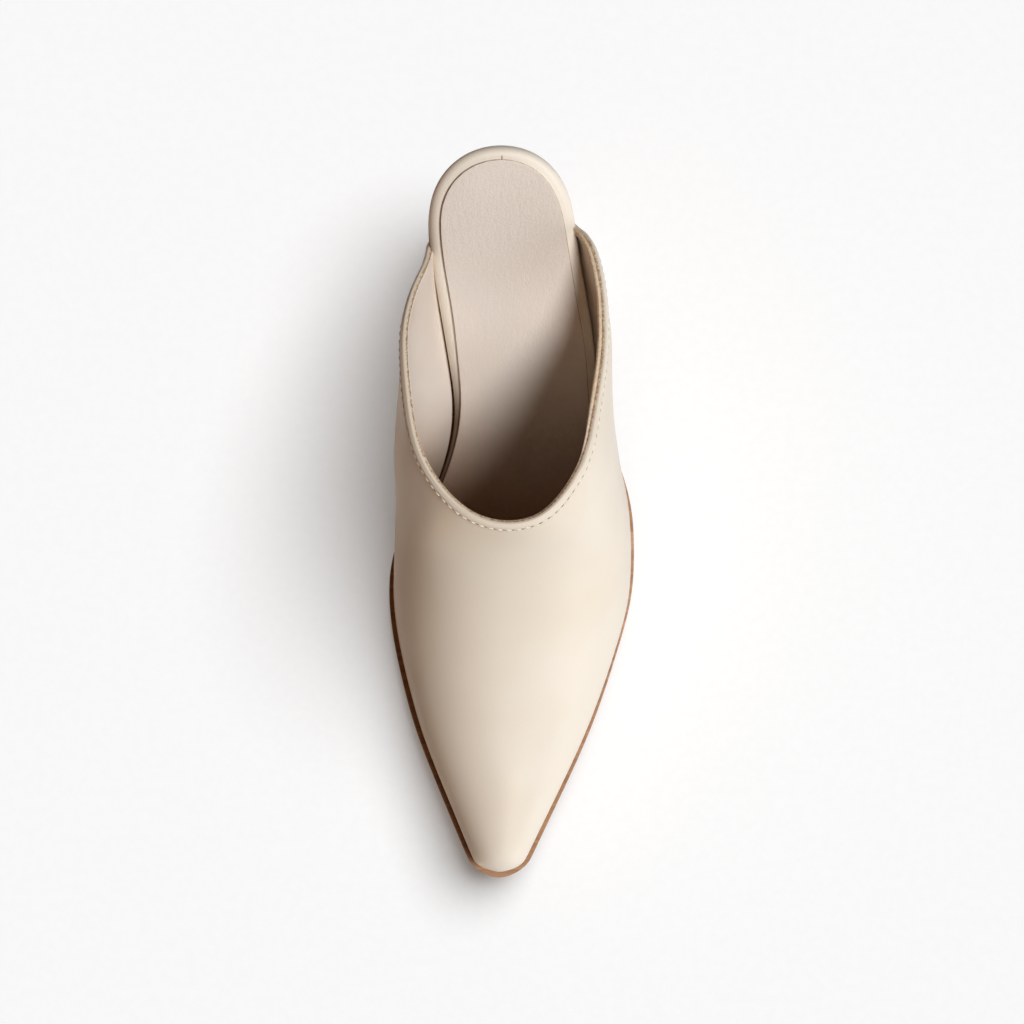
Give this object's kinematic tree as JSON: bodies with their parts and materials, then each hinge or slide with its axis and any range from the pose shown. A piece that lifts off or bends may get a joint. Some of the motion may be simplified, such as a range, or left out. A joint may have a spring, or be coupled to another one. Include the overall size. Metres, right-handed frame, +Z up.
{
  "type": "heeled mule",
  "caption": "Backless slip-on shoe with a pointed leather upper, an open back over a bare insole and a tall block heel.",
  "frame": {"origin": "on the floor, under the middle of the shoe's box", "axes": "+Z up from the floor, toe towards -Y, outer side of the foot towards +X"},
  "size_m": [0.0854, 0.247, 0.1015],
  "materials": {
    "cream": "smooth cream leather, satin",
    "nude": "matt nude lining leather",
    "edge": "waxed tan sole edge",
    "stack": "tan stacked layers, satin",
    "lift": "matt brown rubber"
  },
  "bodies": {
    "root": {"outsole": "edge", "midsole": "edge", "insole": "cream", "sock": "nude", "upper": "cream", "heel": "stack", "top_lift": "lift"}
  },
  "joints": []
}
